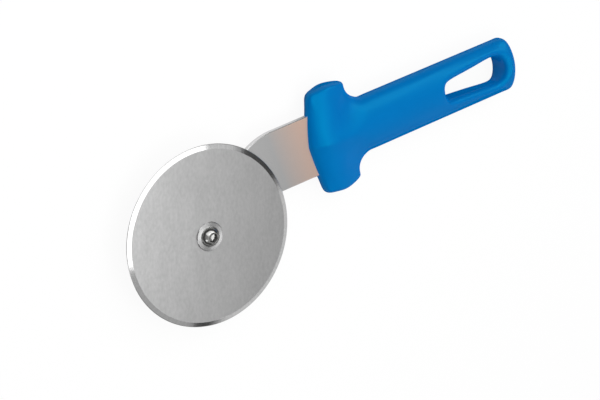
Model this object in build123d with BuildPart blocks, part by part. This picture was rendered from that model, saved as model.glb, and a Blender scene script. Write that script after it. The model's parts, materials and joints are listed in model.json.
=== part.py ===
"""Single-arm pizza cutter: a bevelled wheel that spins on a clamped sleeve, a flat steel arm and a moulded handle.

Millimetres. The cutter lies flat: +X runs from the wheel to the end of the handle, +Z is the wheel's axle with
the screw head on top. The origin is under the middle of the cutter's box, on the surface that it lies on.
"""
from build123d import *
import math
import os

# Cutting wheel
wheel_diameter = 100.0
wheel_thickness = 2.0
bevel_width = 2.8
hone_width = 0.5
hone_thickness = 0.5
edge_thickness = 0.16

# Axle: screw, sleeve, bush, washers and nut
screw_diameter = 6.0
screw_head_overhang = 2.5
screw_head_height = 3.3
screw_head_rim = 0.5
screw_head_flat = 5.8
screw_tip_chamfer = 0.6
socket_across_flats = 4.0
socket_depth = 2.2
socket_lead_in = 0.2
thread_engagement = 5.6
sleeve_wall = 0.9
bush_wall = 1.5
bush_flange_width = 2.95
bush_flange_thickness = 1.2
thrust_washer_thickness = 0.8
front_washer_lap = 2.45
front_washer_thickness = 0.6
front_washer_chamfer = 0.15
lock_washer_width = 2.8
lock_washer_thickness = 1.6
lock_washer_split = 1.0
lock_washer_split_slant = 0.8
nut_wall = 2.0
nut_hexagon_height = 4.5
nut_dome_wall = 1.6
nut_dome_height = 3.5
nut_corner_chamfer = 0.5

# Fits
running_clearance = 0.05
end_play = 0.1
screw_clearance = 0.1
thread_clearance = 0.02
screw_tip_clearance = 0.4

# Arm: a flat plate from the axle to the handle, with a tang inside the moulding
arm_thickness = 3.0
arm_lobe_margin = 5.5
arm_width = 35.0
arm_slope = 29.0
arm_bend_radius = 38.0
arm_throat_radius = 20.0
arm_edge_break = 0.3
arm_embedding = 12.0
arm_shoulder_radius = 3.0
tang_width = 18.0
tang_to_slot = 10.5
tang_corner_radius = 4.0
tang_hole_diameter = 7.0
tang_hole_pitch = 28.0

# Handle: guard, grip and hanging slot
axis_height = 22.3
wheel_to_guard = 23.0
guard_length = 29.3
guard_height = 61.5
guard_thickness = 18.6
horn_setback = 5.6
horn_thickness = 15.2
horn_edge_radius = 3.0
neck_radius = 10.0
neck_sections = 7
grip_length = 113.0
grip_height = 31.8
grip_thickness = 18.2
end_thickness = 16.5
end_bulge = 2.5
end_edge_radius = 2.2
slot_length = 43.1
slot_end_wall = 7.6
slot_side_wall_front = 10.6
slot_side_wall_back = 7.7
slot_corner_radius = 5.0
slot_edge_radius = 3.0

# Heights, from the surface that the cutter lies on
nut_height = nut_hexagon_height + nut_dome_height
below_arm = nut_height + lock_washer_thickness + arm_thickness / 2
arm_middle = max(below_arm, guard_thickness / 2)
arm_back = arm_middle - arm_thickness / 2
arm_front = arm_middle + arm_thickness / 2
nut_seat = arm_back - lock_washer_thickness
thrust_front = arm_front + thrust_washer_thickness
flange_back = thrust_front + end_play
wheel_back = flange_back + bush_flange_thickness
wheel_front = wheel_back + wheel_thickness
wheel_middle = (wheel_back + wheel_front) / 2
washer_back = wheel_front + end_play
head_seat = washer_back + front_washer_thickness
head_top = head_seat + screw_head_height

# Radii round the axle
wheel_radius = wheel_diameter / 2
screw_radius = screw_diameter / 2
screw_hole_radius = screw_radius + screw_clearance
sleeve_radius = screw_hole_radius + sleeve_wall
running_radius = sleeve_radius + running_clearance
bush_radius = running_radius + bush_wall
flange_radius = bush_radius + bush_flange_width
front_washer_radius = bush_radius + front_washer_lap
lock_washer_radius = screw_hole_radius + lock_washer_width
head_radius = screw_radius + screw_head_overhang
nut_radius = screw_radius + nut_wall
nut_dome_radius = screw_radius + nut_dome_wall
arm_lobe_radius = flange_radius + arm_lobe_margin

# Distances along the handle, from the hub
guard_reach = wheel_radius + wheel_to_guard
guard_middle = guard_reach + guard_length / 2
guard_back = guard_reach + guard_length
neck_end = guard_back + neck_radius
handle_end = guard_back + grip_length
slot_back = handle_end - slot_end_wall
slot_front = slot_back - slot_length

# The hub's place, so that the origin is under the middle of the box
box_top = max(wheel_radius, axis_height + guard_height / 2)
box_bottom = min(-wheel_radius, axis_height - guard_height / 2)
hub_x = (wheel_radius - handle_end) / 2
hub_y = -(box_top + box_bottom) / 2

axle = Axis((hub_x, hub_y, 0), (0, 0, 1))
axle_section = Plane(origin=(hub_x, hub_y, 0), x_dir=(1, 0, 0), z_dir=(0, -1, 0))
hub_plane = Plane(origin=(hub_x, hub_y, 0))
handle_plane = Plane(origin=(hub_x, hub_y + axis_height, arm_middle))

# Cutting wheel: flat disc with a bevel on both sides and a fine honed edge
with BuildPart() as cutting_wheel:
    with BuildSketch(axle_section):
        with BuildLine():
            front_profile = Polyline(
                (bush_radius, wheel_middle),
                (bush_radius, wheel_front),
                (wheel_radius - bevel_width, wheel_front),
                (wheel_radius - hone_width, wheel_middle + hone_thickness / 2),
                (wheel_radius, wheel_middle + edge_thickness / 2),
                (wheel_radius, wheel_middle),
            )
            mirror(front_profile, about=Plane.XZ.offset(-wheel_middle))
        make_face()
    revolve(axis=axle)

# Wheel bush: plain bearing pressed into the wheel, with a flange behind it
with BuildPart() as wheel_bush:
    with BuildSketch(axle_section):
        with BuildLine():
            Polyline(
                (running_radius, flange_back),
                (flange_radius, flange_back),
                (flange_radius, wheel_back),
                (bush_radius, wheel_back),
                (bush_radius, wheel_front),
                (running_radius, wheel_front),
                close=True,
            )
        make_face()
    revolve(axis=axle)

# Axle sleeve: spacer clamped between the front washer and the arm
with BuildPart() as axle_sleeve:
    with BuildSketch(hub_plane.offset(arm_front)):
        Circle(sleeve_radius)
        Circle(screw_hole_radius, mode=Mode.SUBTRACT)
    extrude(amount=washer_back - arm_front)

# Thrust washer: ring between the bush's flange and the arm
with BuildPart() as thrust_washer:
    with BuildSketch(hub_plane.offset(arm_front)):
        Circle(flange_radius)
        Circle(running_radius, mode=Mode.SUBTRACT)
    extrude(amount=thrust_washer_thickness)

# Front washer: turned ring under the screw head
with BuildPart() as front_washer:
    with BuildSketch(hub_plane.offset(washer_back)):
        Circle(front_washer_radius)
        Circle(screw_hole_radius, mode=Mode.SUBTRACT)
    extrude(amount=front_washer_thickness)
    rim = front_washer.faces().sort_by(Axis.Z)[-1].outer_wire().edges()
    chamfer(rim, front_washer_chamfer)

# Axle screw: button head with a hexagon socket
with BuildPart() as axle_screw:
    tip = nut_seat - thread_engagement
    dome_start = Vector(head_radius, head_seat + screw_head_rim)
    dome_end = Vector(screw_head_flat / 2, head_top)
    with BuildSketch(axle_section):
        with BuildLine():
            Polyline(
                (dome_end.X, head_top),
                (0, head_top),
                (0, tip),
                (screw_radius - screw_tip_chamfer, tip),
                (screw_radius, tip + screw_tip_chamfer),
                (screw_radius, head_seat),
                (head_radius, head_seat),
                (dome_start.X, dome_start.Y),
            )
            RadiusArc(dome_start, dome_end, -head_radius)
        make_face()
    revolve(axis=axle)
    with BuildSketch(hub_plane.offset(head_top)):
        RegularPolygon(socket_across_flats / 2, 6, major_radius=False)
    extrude(amount=-socket_depth, mode=Mode.SUBTRACT)
    mouth = axle_screw.faces().sort_by(Axis.Z)[-1].inner_wires()[0].edges()
    chamfer(mouth, socket_lead_in)

# Lock washer: split spring ring, pressed flat
with BuildPart() as lock_washer:
    with BuildSketch(hub_plane.offset(nut_seat)):
        Circle(lock_washer_radius)
        Circle(screw_hole_radius, mode=Mode.SUBTRACT)
    extrude(amount=lock_washer_thickness)
    with BuildSketch(Plane(origin=(hub_x, hub_y, nut_seat), x_dir=(0, 1, 0), z_dir=(1, 0, 0))):
        with BuildLine():
            Polyline(
                (0, 0),
                (lock_washer_split, 0),
                (lock_washer_split + lock_washer_split_slant, lock_washer_thickness),
                (lock_washer_split_slant, lock_washer_thickness),
                close=True,
            )
        make_face()
    extrude(amount=2 * lock_washer_radius, mode=Mode.SUBTRACT)

# Cap nut: hexagon with a dome that covers the screw's end
with BuildPart() as cap_nut:
    dome_base = nut_seat - nut_hexagon_height
    corner_radius = 2 * nut_radius / math.sqrt(3)
    with BuildSketch(hub_plane.offset(dome_base)):
        RegularPolygon(nut_radius, 6, major_radius=False)
    extrude(amount=nut_hexagon_height)
    with BuildSketch(axle_section):
        with BuildLine():
            Polyline(
                (0, dome_base),
                (nut_radius, dome_base),
                (corner_radius, dome_base + nut_corner_chamfer),
                (corner_radius, nut_seat - nut_corner_chamfer),
                (nut_radius, nut_seat),
                (0, nut_seat),
                close=True,
            )
        make_face()
    revolve(axis=axle, mode=Mode.INTERSECT)
    with BuildSketch(axle_section):
        with BuildLine():
            dome_sphere = (nut_dome_radius**2 + nut_dome_height**2) / (2 * nut_dome_height)
            RadiusArc((0, dome_base - nut_dome_height), (nut_dome_radius, dome_base), -dome_sphere)
            Polyline((nut_dome_radius, dome_base), (0, dome_base), (0, dome_base - nut_dome_height))
        make_face()
    revolve(axis=axle)
    with BuildSketch(hub_plane.offset(nut_seat)):
        Circle(screw_radius + thread_clearance)
    extrude(amount=-(thread_engagement + screw_tip_clearance), mode=Mode.SUBTRACT)

# Arm: plate with a lobe round the axle, a straight neck and a tang with two keying holes
with BuildPart() as arm:
    top = axis_height + arm_width / 2
    bottom = axis_height - arm_width / 2
    shoulder = guard_reach + arm_embedding
    tang_end = slot_front - tang_to_slot
    slope = math.radians(arm_slope)
    lobe_touch = Vector(-arm_lobe_radius * math.sin(slope), arm_lobe_radius * math.cos(slope))
    bend = Vector(lobe_touch.X + (top - lobe_touch.Y) / math.tan(slope), top)
    throat = Vector(math.sqrt(arm_lobe_radius**2 - bottom**2), bottom)
    with BuildSketch(hub_plane.offset(arm_back)) as arm_outline:
        with BuildLine():
            Polyline(
                (0, 0),
                (lobe_touch.X, lobe_touch.Y),
                (bend.X, top),
                (shoulder, top),
                (shoulder, axis_height + tang_width / 2),
                (tang_end, axis_height + tang_width / 2),
                (tang_end, axis_height - tang_width / 2),
                (shoulder, axis_height - tang_width / 2),
                (shoulder, bottom),
                (0, bottom),
                close=True,
            )
        make_face()
        Circle(arm_lobe_radius)

        def corner(x, y):
            """The outline's corner nearest to a place given from the hub."""
            return arm_outline.vertices().sort_by_distance((x, y))[0]

        fillet(corner(bend.X, top), arm_bend_radius)
        fillet(corner(throat.X, bottom), arm_throat_radius)
        for side in (1, -1):
            tang_side = axis_height + side * tang_width / 2
            fillet(corner(shoulder, tang_side), arm_shoulder_radius)
            fillet(corner(tang_end, tang_side), tang_corner_radius)
        fillet(corner(shoulder, top), arm_shoulder_radius)
        fillet(corner(shoulder, bottom), arm_shoulder_radius)
    extrude(amount=arm_thickness)
    chamfer(arm.faces().filter_by(Plane.XY).edges(), arm_edge_break)
    hole_middle = (shoulder + tang_end) / 2
    with Locations(hub_plane.offset(arm_front)):
        Hole(screw_hole_radius)
        with Locations((hole_middle, axis_height)):
            with GridLocations(tang_hole_pitch, 0, 2, 1):
                Hole(tang_hole_diameter / 2)

# Guard form: an upright bar, oval in plan, whose two halves thin and slope back from a crease at the middle
with BuildPart() as guard:
    half_guard = guard_height / 2
    for height in (-half_guard, 0, half_guard):
        setback, thickness = (horn_setback, horn_thickness) if height else (0, guard_thickness)
        middle = handle_plane.origin + Vector(guard_middle + setback / 2, height, 0)
        with BuildSketch(Plane(origin=middle, x_dir=(1, 0, 0), z_dir=(0, 1, 0))):
            Ellipse((guard_length - setback) / 2, thickness / 2)
    loft(ruled=True)
    fillet(guard.faces().filter_by(Axis.Y).edges(), horn_edge_radius)


def handle_section(distance):
    """The plane square to the handle's axis, at a distance from the hub."""
    middle = handle_plane.origin + Vector(distance, 0, 0)
    return Plane(origin=middle, x_dir=(0, 1, 0), z_dir=(1, 0, 0))


# Handle: one moulding round the tang, oval in section, with a hanging slot at the end
with BuildPart() as handle:
    half_grip = grip_height / 2
    for distance, thickness in ((neck_end, grip_thickness), (handle_end, end_thickness)):
        with BuildSketch(handle_section(distance)):
            Ellipse(half_grip, thickness / 2)
    loft()

    # The end is a shallow arc, seen from the side
    end_corner = handle_end - end_bulge
    with BuildSketch(handle_plane):
        with BuildLine():
            ThreePointArc((end_corner, -half_grip), (handle_end, 0), (end_corner, half_grip))
            Polyline(
                (end_corner, half_grip),
                (end_corner, grip_height),
                (neck_end, grip_height),
                (neck_end, -grip_height),
                (end_corner, -grip_height),
                (end_corner, -half_grip),
            )
        make_face()
    extrude(amount=guard_thickness, both=True, mode=Mode.INTERSECT)
    end_wall = handle.faces().sort_by(Axis.X)[-1]
    fillet(end_wall.edges(), end_edge_radius)

    # The hanging slot widens towards the end, and its edges are rounded
    slot_half_front = half_grip - slot_side_wall_front
    slot_half_back = half_grip - slot_side_wall_back
    with BuildSketch(handle_plane) as slot_outline:
        with BuildLine():
            Polyline(
                (slot_front, slot_half_front),
                (slot_back, slot_half_back),
                (slot_back, -slot_half_back),
                (slot_front, -slot_half_front),
                close=True,
            )
        make_face()
        fillet(slot_outline.vertices(), min(slot_corner_radius, slot_half_front))
    extrude(amount=guard_thickness, both=True, mode=Mode.SUBTRACT)
    slot_middle = hub_x + slot_back - slot_length / 2
    slot_reach = (slot_length + slot_end_wall) / 2
    slot_faces = handle.faces().filter_by_position(Axis.X, slot_middle - slot_reach, slot_middle + slot_reach)
    slot_walls = slot_faces.filter_by(GeomType.PLANE) + slot_faces.filter_by(GeomType.CYLINDER)
    fillet(slot_walls.edges().filter_by(Axis.Z, reverse=True), slot_edge_radius)

    # The neck flares along a quarter circle into the guard
    for step in range(neck_sections):
        turn = math.pi / 2 * step / neck_sections
        flare = half_grip + neck_radius * (1 - math.cos(turn))
        with BuildSketch(handle_section(neck_end - neck_radius * math.sin(turn))):
            Ellipse(flare, grip_thickness / 2)
    with BuildSketch(handle_section(guard_middle)):
        Ellipse(flare, grip_thickness / 2)
    loft(ruled=True)
    add(guard.part)
    add(arm.part, mode=Mode.SUBTRACT)

pieces = {
    "cutting_wheel": cutting_wheel,
    "wheel_bush": wheel_bush,
    "axle_sleeve": axle_sleeve,
    "thrust_washer": thrust_washer,
    "front_washer": front_washer,
    "axle_screw": axle_screw,
    "lock_washer": lock_washer,
    "cap_nut": cap_nut,
    "arm": arm,
    "handle": handle,
}
os.makedirs("parts", exist_ok=True)
for label, piece in pieces.items():
    piece.part.label = label
    export_step(piece.part, f"parts/{label}.step")
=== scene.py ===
# %% [markdown]
# Pizza cutter: a bevelled steel wheel on a flat offset arm, with a blue moulded handle.
# The CAD model is loaded first and stays fixed. Each step below then gives one piece its
# real surface: turned pieces are spun, the handle is a subdivision surface, and every
# finish is a node material. The cutter's sizes are in millimetres, the studio's in metres.

# %% Load the frame
import json
from math import cos, hypot, pi, radians, sin, sqrt, tan

import bmesh
import bpy
from mathutils import Matrix, Quaternion, Vector


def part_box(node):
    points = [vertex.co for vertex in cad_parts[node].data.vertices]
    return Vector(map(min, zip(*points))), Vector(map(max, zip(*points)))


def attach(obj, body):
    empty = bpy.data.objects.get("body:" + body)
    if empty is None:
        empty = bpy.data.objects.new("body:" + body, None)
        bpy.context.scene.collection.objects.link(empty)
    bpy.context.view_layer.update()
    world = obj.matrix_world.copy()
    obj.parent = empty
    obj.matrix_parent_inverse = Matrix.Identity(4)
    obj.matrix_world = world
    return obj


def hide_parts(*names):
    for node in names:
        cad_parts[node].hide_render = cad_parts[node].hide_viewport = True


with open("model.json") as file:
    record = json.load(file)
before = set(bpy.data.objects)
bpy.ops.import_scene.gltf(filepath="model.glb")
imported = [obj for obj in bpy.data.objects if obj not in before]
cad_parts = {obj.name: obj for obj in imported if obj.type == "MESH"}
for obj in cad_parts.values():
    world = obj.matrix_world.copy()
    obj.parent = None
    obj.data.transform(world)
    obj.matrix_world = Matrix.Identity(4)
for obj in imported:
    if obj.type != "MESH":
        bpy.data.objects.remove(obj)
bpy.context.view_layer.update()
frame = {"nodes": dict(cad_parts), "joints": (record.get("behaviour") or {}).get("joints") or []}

MM = 0.001
hub = Vector(frame["joints"][0]["pos_m"])
print("hub in mm:", [round(value / MM, 2) for value in hub])


# %% [markdown]
# The camera looks down on the cutter from the wheel's side. It could be placed by eye, but
# fitting the round wheel to the oval that it makes in the picture gives its direction, its
# distance and its lens together. The cutter lies on the floor here, so the camera is rolled
# to bring the handle to the upper right of the frame.

# %% Camera
CAMERA_AIM = hub + Vector((59.29, -2.48, 0)) * MM
CAMERA_DISTANCE = 1244.24 * MM
CAMERA_AZIMUTH = radians(-128.815)
CAMERA_ELEVATION = radians(53.457)
CAMERA_ROLL = radians(111.097)
CAMERA_REACH = 100.0
LENS_MM = 137.6

towards_camera = Vector((
    sin(CAMERA_AZIMUTH) * cos(CAMERA_ELEVATION),
    -cos(CAMERA_AZIMUTH) * cos(CAMERA_ELEVATION),
    sin(CAMERA_ELEVATION),
))
level_turn = (-towards_camera).to_track_quat("-Z", "Y")
camera = bpy.data.objects.new("camera", bpy.data.cameras.new("camera"))
camera.data.lens = LENS_MM
camera.data.clip_end = CAMERA_REACH
camera.location = CAMERA_AIM + towards_camera * CAMERA_DISTANCE
camera.rotation_mode = "QUATERNION"
camera.rotation_quaternion = level_turn @ Quaternion((0, 0, 1), CAMERA_ROLL)
bpy.context.scene.collection.objects.link(camera)
bpy.context.scene.camera = camera
bpy.context.scene.view_settings.view_transform = "Standard"
print("camera", [round(value, 3) for value in camera.location])


# %% [markdown]
# A finish is a small network of shader nodes. It could be wired up by hand each time, but
# two helpers are enough for all of them: one turns an sRGB hex colour into the linear
# values that a shader works with, and one adds a node, sets it up and links it. Two more
# start a material and turn a bmesh into an object.

# %% Helpers
def linear(hex_colour):
    """sRGB hex colour to linear RGBA."""
    values = [int(hex_colour[i:i + 2], 16) / 255 for i in (1, 3, 5)]
    return [v / 12.92 if v <= 0.04045 else ((v + 0.055) / 1.055) ** 2.4 for v in values] + [1.0]


def add_node(tree, kind, inputs=None, **settings):
    """Adds a node. Inputs are named or numbered sockets, each given a value or another node's output."""
    node = tree.nodes.new(kind)
    for name, value in settings.items():
        setattr(node, name, value)
    for name, value in (inputs or {}).items():
        if isinstance(value, bpy.types.NodeSocket):
            tree.links.new(value, node.inputs[name])
        else:
            node.inputs[name].default_value = value
    return node


def new_material(name):
    """An empty node material and its tree."""
    material = bpy.data.materials.new(name)
    material.use_nodes = True
    material.node_tree.nodes.clear()
    return material, material.node_tree


def new_object(bm, name, materials):
    """Turns a bmesh into an object with its materials."""
    mesh = bpy.data.meshes.new(name)
    bm.to_mesh(mesh)
    bm.free()
    for material in materials:
        mesh.materials.append(material)
    made = bpy.data.objects.new(name, mesh)
    bpy.context.scene.collection.objects.link(made)
    return made


print("half-way grey in linear light:", round(linear("#808080")[0], 3))


# %% [markdown]
# The stage is white paper, as for a catalogue picture. It could be lit until it is white,
# but that would wash out the cutter. So what the camera and the metal see of it is mostly
# its own white, and the rest is lit, which keeps the soft shadow. To all other light the
# paper is grey and throws little back. In reflections its white fades where the cutter
# covers it, as read by an ambient occlusion node.

# %% Floor
FLOOR_SIZE = 100.0
FLOOR_GLOW = 0.93
COVER_REACH = 0.1
COVER_SAMPLES = 8

paper, tree = new_material("white_backdrop_paper")
path = add_node(tree, "ShaderNodeLightPath")
# Ambient occlusion paints shade into the floor's white where the metal mirrors it near the cutter
cover = add_node(tree, "ShaderNodeAmbientOcclusion", {"Distance": COVER_REACH}, samples=COVER_SAMPLES)
mirrored = add_node(tree, "ShaderNodeMath", {
    0: path.outputs["Is Glossy Ray"], 1: cover.outputs["AO"],
}, operation="MULTIPLY")
straight = add_node(tree, "ShaderNodeMath", {
    0: path.outputs["Is Camera Ray"], 1: path.outputs["Is Transmission Ray"],
}, operation="MAXIMUM")
seen = add_node(tree, "ShaderNodeMath", {
    0: straight.outputs[0], 1: mirrored.outputs[0],
}, operation="MAXIMUM")
share = add_node(tree, "ShaderNodeMath", {0: seen.outputs[0], 1: FLOOR_GLOW}, operation="MULTIPLY")
shade = add_node(tree, "ShaderNodeMix", {
    "Factor": path.outputs["Is Camera Ray"], 6: linear("#8C8C8C"), 7: linear("#FFFFFF"),
}, data_type="RGBA")
lit = add_node(tree, "ShaderNodeBsdfDiffuse", {"Color": shade.outputs[2]})
glow = add_node(tree, "ShaderNodeEmission", {"Color": linear("#FFFFFF"), "Strength": 1.0})
both = add_node(tree, "ShaderNodeMixShader", {
    0: share.outputs[0], 1: lit.outputs[0], 2: glow.outputs[0],
})
add_node(tree, "ShaderNodeOutputMaterial", {"Surface": both.outputs[0]})

floor_bm = bmesh.new()
bmesh.ops.create_grid(floor_bm, x_segments=1, y_segments=1, size=FLOOR_SIZE / 2)
floor = new_object(floor_bm, "floor", [paper])
print("floor", FLOOR_SIZE, "m wide")


# %% [markdown]
# Bare steel mirrors the room it is in. An even room would make it look like grey paint, so
# this one is grey above and darker near the floor. One map from the height of a direction to
# a brightness is all that the world needs.

# %% Grey room
ROOM_ABOVE = 0.42
ROOM_BELOW = 0.08
ROOM_CHANGE = (0.30, 0.62)

world = bpy.data.worlds.new("grey_room")
world.use_nodes = True
tree = world.node_tree
tree.nodes.clear()
way = add_node(tree, "ShaderNodeTexCoord")
parts = add_node(tree, "ShaderNodeSeparateXYZ", {0: way.outputs["Generated"]})
level = add_node(tree, "ShaderNodeMapRange", {
    "Value": parts.outputs[2],
    "From Min": ROOM_CHANGE[0], "From Max": ROOM_CHANGE[1],
    "To Min": ROOM_BELOW, "To Max": ROOM_ABOVE,
}, interpolation_type="SMOOTHSTEP")
room = add_node(tree, "ShaderNodeBackground", {"Color": linear("#FFFFFF"), "Strength": level.outputs[0]})
add_node(tree, "ShaderNodeOutputWorld", {"Surface": room.outputs[0]})
bpy.context.scene.world = world
print("room from", ROOM_BELOW, "to", ROOM_ABOVE)


# %% [markdown]
# A studio lights such a tool with softboxes, large even rectangles of light. A large one
# hangs over the cutter, and a smaller, brighter one just below it is what the guard's front
# and the bevel mirror. One beside it gives the handle its long highlight, and a wide one at
# the side shows in the screw. Sun or point lamps would give hard glints on steel, so they
# are area lamps, which the camera doesn't see.

# %% Softboxes
LIGHT_HEIGHT = 0.62
LIGHT_MIDDLE = Vector((0.003, 0.162))
LIGHT_SIZE = Vector((1.106, 1.276))
LIGHT_TURN = radians(-19)
LIGHT_BRIGHTNESS = 1.2
SIDE_LIGHT_DIRECTION = (94.0, 45.0)
SIDE_LIGHT_DISTANCE = 0.9
SIDE_LIGHT_SIZE = (1.1, 0.55)
SIDE_LIGHT_BRIGHTNESS = 1.2
HANDLE_LIGHT_PLACE = Vector((0.66, 0.53, 0.62))
HANDLE_LIGHT_SIZE = (0.60, 0.50)
HANDLE_LIGHT_BRIGHTNESS = 2.0
PATCH_PLACE = Vector((0.031, -0.10, 0.60))
PATCH_SIZE = (0.27, 0.26)
PATCH_BRIGHTNESS = 1.55


def add_softbox(name, place, turn, width, height, brightness):
    """A soft light at a place about the hub. Its brightness is what a mirror would show of it."""
    lamp = bpy.data.lights.new(name, "AREA")
    lamp.shape = "RECTANGLE"
    lamp.size = width
    lamp.size_y = height
    lamp.energy = brightness * pi * width * height
    softbox = bpy.data.objects.new(name, lamp)
    softbox.location = hub + place
    softbox.rotation_mode = "QUATERNION"
    softbox.rotation_quaternion = turn
    softbox.visible_camera = False
    bpy.context.scene.collection.objects.link(softbox)
    print(name, round(width, 3), "by", round(height, 3), "m")


def direction(azimuth, elevation):
    """The direction from the hub at two angles in degrees."""
    azimuth, elevation = radians(azimuth), radians(elevation)
    return Vector((cos(azimuth) * cos(elevation), sin(azimuth) * cos(elevation), sin(elevation)))


# The large light's middle and size are given for a height of 1 m, in directions turned with it
over_turn = Quaternion((0, 0, 1), LIGHT_TURN)
over_place = over_turn @ Vector((*LIGHT_MIDDLE, 1)) * LIGHT_HEIGHT
over_size = LIGHT_SIZE * LIGHT_HEIGHT
side_way = direction(*SIDE_LIGHT_DIRECTION)
side_place = side_way * SIDE_LIGHT_DISTANCE
side_turn = side_way.to_track_quat("Z", "Y")
unturned = Quaternion()
add_softbox("softbox_over", over_place, over_turn, *over_size, LIGHT_BRIGHTNESS)
add_softbox("softbox_side", side_place, side_turn, *SIDE_LIGHT_SIZE, SIDE_LIGHT_BRIGHTNESS)
add_softbox("softbox_handle", HANDLE_LIGHT_PLACE, unturned, *HANDLE_LIGHT_SIZE, HANDLE_LIGHT_BRIGHTNESS)
add_softbox("softbox_patch", PATCH_PLACE, unturned, *PATCH_SIZE, PATCH_BRIGHTNESS)


# %% [markdown]
# Polished steel shows what stands round it, so a photographer puts up cards: dark ones give
# the wheel's bevel its dark streaks, and pale ones its bright lines. The streaks could be
# painted on the steel, but then they would turn with the wheel. Each card is a glowing plane
# that the camera doesn't see, placed by the angles at which the hub sees it.

# %% Cards
CARD_DISTANCE = 1.0


def add_card(name, azimuth, elevation, width, height, roll, brightness):
    """A card that faces the hub. Its place, size and roll are angles in degrees, seen from there."""
    way = direction(azimuth, elevation)
    sides = [2 * tan(radians(angle) / 2) * CARD_DISTANCE for angle in (width, height)]
    card_paint, tree = new_material(name)
    shine = add_node(tree, "ShaderNodeEmission", {"Strength": brightness})
    add_node(tree, "ShaderNodeOutputMaterial", {"Surface": shine.outputs[0]})
    bm = bmesh.new()
    bmesh.ops.create_grid(bm, x_segments=1, y_segments=1, size=0.5)
    bmesh.ops.scale(bm, verts=bm.verts, vec=(*sides, 1))
    bmesh.ops.rotate(bm, verts=bm.verts, matrix=Matrix.Rotation(radians(roll), 3, "Z"))
    bmesh.ops.rotate(bm, verts=bm.verts, matrix=way.to_track_quat("Z", "Y").to_matrix())
    bmesh.ops.translate(bm, verts=bm.verts, vec=hub + way * CARD_DISTANCE)
    card = new_object(bm, name, [card_paint])
    card.visible_camera = False
    print(name, [round(side, 2) for side in sides], "m")


# Azimuth, elevation, width, height and roll in degrees, then brightness
add_card("pale_card_by_light", 11, 48.8, 12, 12, 53, 0.64)
add_card("dark_card_right", -6.0, 34.8, 20, 11, 43, 0.06)
add_card("dark_card_front", -72.0, 30.3, 8, 8, -48, 0.045)
add_card("pale_card_front", -42.0, 20.0, 58, 14, 0, 0.66)
add_card("pale_card_left", -150.0, 33.0, 18, 16, 0, 2.0)


# %% [markdown]
# Every turned piece is one profile spun about the axle, as a lathe makes it. Cylinders and
# cones could be stacked up instead, but a profile has each edge and chamfer in one list. One
# helper spins it, and another makes the result a finished piece that stands for a CAD node
# and rides on a body. Heights and radii are read from the CAD nodes.

# %% Helpers for pieces
SPIN_STEPS = 192
MERGE_DISTANCE = 0.001 * MM


def spun(profile, closed, steps=SPIN_STEPS, turn=2 * pi):
    """Spins a profile of (radius, height) in millimetres about the axle."""
    bm = bmesh.new()
    vertices = [bm.verts.new((hub.x + r * MM, hub.y, z * MM)) for r, z in profile]
    pairs = list(zip(vertices, vertices[1:]))
    if closed:
        pairs.append((vertices[-1], vertices[0]))
    edges = [bm.edges.new(pair) for pair in pairs]
    bmesh.ops.spin(bm, geom=vertices + edges, cent=hub, axis=(0, 0, 1), angle=turn, steps=steps,
                   use_merge=turn == 2 * pi)
    bmesh.ops.remove_doubles(bm, verts=bm.verts, dist=MERGE_DISTANCE)
    bmesh.ops.recalc_face_normals(bm, faces=bm.faces)
    return bm


def finished(bm, name, node, body, materials, sharp=30):
    """Makes a bmesh a piece. It is shaded smooth, but for edges that turn by more than sharp degrees."""
    piece = new_object(bm, name, materials)
    piece.data.shade_smooth()
    piece.data.set_sharp_from_angle(angle=radians(sharp))
    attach(piece, body)
    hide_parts(node)
    print(name, len(piece.data.polygons), "faces")
    return piece


def heights(node):
    """A node's lowest and highest height in millimetres."""
    low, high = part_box(node)
    return low.z / MM, high.z / MM


def radius(node):
    """Half of a round node's width in millimetres."""
    low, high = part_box(node)
    return (high.x - low.x) / 2 / MM


print("wheel radius in mm:", round(radius("cutting_wheel"), 2))


# %% [markdown]
# All the bare steel here has one build-up: a pattern from 0 to 1 moves the colour, the
# roughness and the height of the surface a little. What differs is the pattern, because the
# belt, the lathe and the polishing wheel each leave their own marks. So one function builds
# them all, each from a pattern of its own.

# %% Bare steel
QUARTER_TURN = 0.25


def object_pattern(tree, turn=0.0, size=(1.0, 1.0, 1.0)):
    """Object coordinates about the axle, turned, and counted in a size in millimetres."""
    place = add_node(tree, "ShaderNodeTexCoord")
    mapping = add_node(tree, "ShaderNodeMapping", {
        "Vector": place.outputs["Object"],
        "Location": hub,
        "Rotation": (0, 0, turn),
    }, vector_type="TEXTURE")
    counted = add_node(tree, "ShaderNodeVectorMath", {
        0: mapping.outputs[0],
        1: [1 / (value * MM) for value in size],
    }, operation="MULTIPLY")
    return counted.outputs[0]


def steel(name, dark, light, roughness, pattern, depth, spread=0.05, stretch=0.0):
    """Bare steel. Depth is the pattern's height in millimetres, spread its change of roughness,
    and stretch draws out what it reflects across rings round the axle."""
    material, tree = new_material(name)
    value = pattern(tree)
    colour = add_node(tree, "ShaderNodeMix", {
        "Factor": value, 6: linear(dark), 7: linear(light),
    }, data_type="RGBA")
    rough = add_node(tree, "ShaderNodeMapRange", {
        "Value": value, "To Min": roughness + spread, "To Max": roughness - spread,
    })
    bump = add_node(tree, "ShaderNodeBump", {"Height": value, "Strength": 1.0, "Distance": depth * MM})
    surface = add_node(tree, "ShaderNodeBsdfPrincipled", {
        "Base Color": colour.outputs[2],
        "Metallic": 1.0,
        "Roughness": rough.outputs[0],
        "Normal": bump.outputs[0],
        "Anisotropic": stretch,
        "Anisotropic Rotation": QUARTER_TURN,
    })
    if stretch:
        rings = add_node(tree, "ShaderNodeTangent", direction_type="RADIAL", axis="Z")
        tree.links.new(rings.outputs[0], surface.inputs["Tangent"])
    add_node(tree, "ShaderNodeOutputMaterial", {"Surface": surface.outputs[0]})
    print("finish", name)
    return material


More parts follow.
